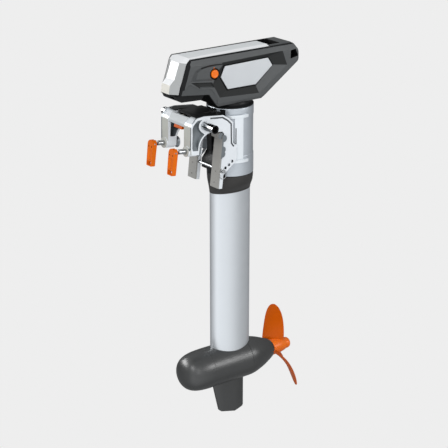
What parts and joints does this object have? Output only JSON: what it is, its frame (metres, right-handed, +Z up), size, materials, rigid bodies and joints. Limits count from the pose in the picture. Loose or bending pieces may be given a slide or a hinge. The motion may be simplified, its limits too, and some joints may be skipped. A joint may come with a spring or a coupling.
{
  "type": "trolling motor",
  "caption": "Electric outboard trolling motor with a battery head, a transom clamp bracket that tilts and steers, a foil-section shaft, a motor pod with a skeg and a bladed propeller.",
  "frame": {"origin": "middle of the seat that rests on the transom's top edge", "axes": "+Z up along the shaft towards the head, +X aft towards the propeller, +Y to starboard"},
  "size_m": [0.4718, 0.2522, 1.128],
  "materials": {
    "cast_white": "satin white powder coat on cast aluminium",
    "silver_paint": "fine metallic silver paint on cast aluminium",
    "anodised": "clear anodised extrusion, fine lengthways grain",
    "cover_white": "satin moulded plastic",
    "shell_grey": "fine moulded texture",
    "black_plastic": "fine moulded texture",
    "pod_grey": "satin grey paint on cast aluminium",
    "pad_grey": "hard grey plastic, lightly scuffed",
    "seat_rubber": "matte",
    "steel": "stainless, lightly polished",
    "orange": "glass-filled plastic, semi-gloss",
    "badge": "plain satin plate",
    "winding": "copper windings on a laminated core",
    "magnet": "plated",
    "board": "circuit board",
    "nylon": "plain nylon",
    "bearing_plate": "machined"
  },
  "bodies": {
    "clamp_bracket": {"port_arm": "cast_white", "starboard_arm": "cast_white", "port_transom_pad": "pad_grey", "starboard_transom_pad": "pad_grey", "port_arm_cap": "black_plastic", "starboard_arm_cap": "black_plastic", "front_beam": "cast_white", "seat_plate": "seat_rubber", "tilt_tube": "anodised", "lock_lever_pin": "steel"},
    "swivel": {"swivel_housing": "silver_paint", "port_tilt_bush": "nylon", "starboard_tilt_bush": "nylon", "bracket_hood": "black_plastic", "upper_steering_bush": "nylon", "lower_steering_bush": "nylon"},
    "column": {"steering_tube": "anodised", "shaft_collar": "black_plastic", "shaft_tube": "anodised", "motor_cable": "black_plastic", "pod_housing": "pod_grey", "saddle_cover": "pod_grey", "nose_cone": "pod_grey", "skeg": "pod_grey", "stator": "winding", "front_bearing": "steel", "rear_bearing": "steel", "front_bearing_plate": "bearing_plate", "rear_bearing_plate": "bearing_plate", "shaft_seal": "seat_rubber", "head_neck": "black_plastic", "contact_block": "nylon"},
    "propulsion": {"drive_shaft": "steel", "rotor": "magnet", "drive_pin": "steel", "propeller": "orange", "propeller_nut": "orange"},
    "battery_head": {"port_head_shell": "shell_grey", "starboard_head_shell": "shell_grey", "head_top_cover": "cover_white", "head_base": "black_plastic", "battery_pack": "black_plastic", "power_board": "board", "port_badge_plate": "badge", "starboard_badge_plate": "badge"},
    "port_button": {"port_release_button": "orange"},
    "starboard_button": {"starboard_release_button": "orange"},
    "port_pad": {"port_clamp_pad": "cast_white"},
    "starboard_pad": {"starboard_clamp_pad": "cast_white"},
    "port_screw": {"port_clamp_screw": "steel"},
    "starboard_screw": {"starboard_clamp_screw": "steel"},
    "port_t_handle": {"port_clamp_handle": "orange", "port_handle_pin": "steel"},
    "starboard_t_handle": {"starboard_clamp_handle": "orange", "starboard_handle_pin": "steel"},
    "pin": {"trim_pin": "steel"},
    "pull_ring": {"trim_pin_ring": "steel"},
    "lock_lever": {"tilt_lock_lever": "orange"}
  },
  "joints": [
    {"name": "tilt", "type": "hinge", "parent": "clamp_bracket", "child": "swivel", "pos_m": [-0.02285, 0, 0.02268], "axis": [0, -1, 0], "range_deg": [0, 60]},
    {"name": "steering", "type": "hinge", "parent": "swivel", "child": "column", "pos_m": [0.118, 0, 0], "axis": [0, 0, 1], "continuous": true},
    {"name": "propeller_spin", "type": "hinge", "parent": "column", "child": "propulsion", "pos_m": [0.118, 0, -0.75], "axis": [1, 0, 0], "continuous": true},
    {"name": "head_lift", "type": "slide", "parent": "column", "child": "battery_head", "axis": [0, 0, 1], "range_m": [0, 0.05]},
    {"name": "port_button_press", "type": "slide", "parent": "battery_head", "child": "port_button", "axis": [0, 1, 0], "range_m": [0, 0.004], "stiffness_N_per_m": 400},
    {"name": "starboard_button_press", "type": "slide", "parent": "battery_head", "child": "starboard_button", "axis": [0, -1, 0], "range_m": [0, 0.004], "stiffness_N_per_m": 400},
    {"name": "port_pad_slide", "type": "slide", "parent": "clamp_bracket", "child": "port_pad", "axis": [0.9934, 0, -0.1149], "range_m": [0, 0.027]},
    {"name": "port_screw_turn", "type": "hinge", "parent": "port_pad", "child": "port_screw", "pos_m": [-0.06879, -0.053, -0.0464], "axis": [0.9934, 0, -0.1149], "range_deg": [0, 3240]},
    {"name": "port_handle_fold", "type": "hinge", "parent": "port_screw", "child": "port_t_handle", "pos_m": [-0.11448, -0.053, -0.04111], "axis": [0, 1, 0], "range_deg": [0, 90]},
    {"name": "starboard_pad_slide", "type": "slide", "parent": "clamp_bracket", "child": "starboard_pad", "axis": [0.9934, 0, -0.1149], "range_m": [-0.003, 0.024]},
    {"name": "starboard_screw_turn", "type": "hinge", "parent": "starboard_pad", "child": "starboard_screw", "pos_m": [-0.06581, 0.053, -0.04675], "axis": [0.9934, 0, -0.1149], "range_deg": [-360, 2880]},
    {"name": "starboard_handle_fold", "type": "hinge", "parent": "starboard_screw", "child": "starboard_t_handle", "pos_m": [-0.1115, 0.053, -0.04146], "axis": [0, 1, 0], "range_deg": [0, 90]},
    {"name": "trim_pin_pull", "type": "slide", "parent": "clamp_bracket", "child": "pin", "axis": [0, -1, 0], "range_m": [0, 0.15]},
    {"name": "pull_ring_swing", "type": "hinge", "parent": "pin", "child": "pull_ring", "pos_m": [0.03581, -0.0795, -0.11755], "axis": [0.9934, 0, -0.1149], "range_deg": [-90, 12]},
    {"name": "lock_lever_lift", "type": "hinge", "parent": "clamp_bracket", "child": "lock_lever", "pos_m": [-0.04475, 0, 0.01343], "axis": [0, -1, 0], "range_deg": [0, 20], "stiffness_Nm_per_rad": 0.05}
  ],
  "couplings": [
    {"joint": "port_pad_slide", "follows": "port_screw_turn", "m_per_rad": 0.00047746},
    {"joint": "starboard_pad_slide", "follows": "starboard_screw_turn", "m_per_rad": 0.00047746}
  ]
}
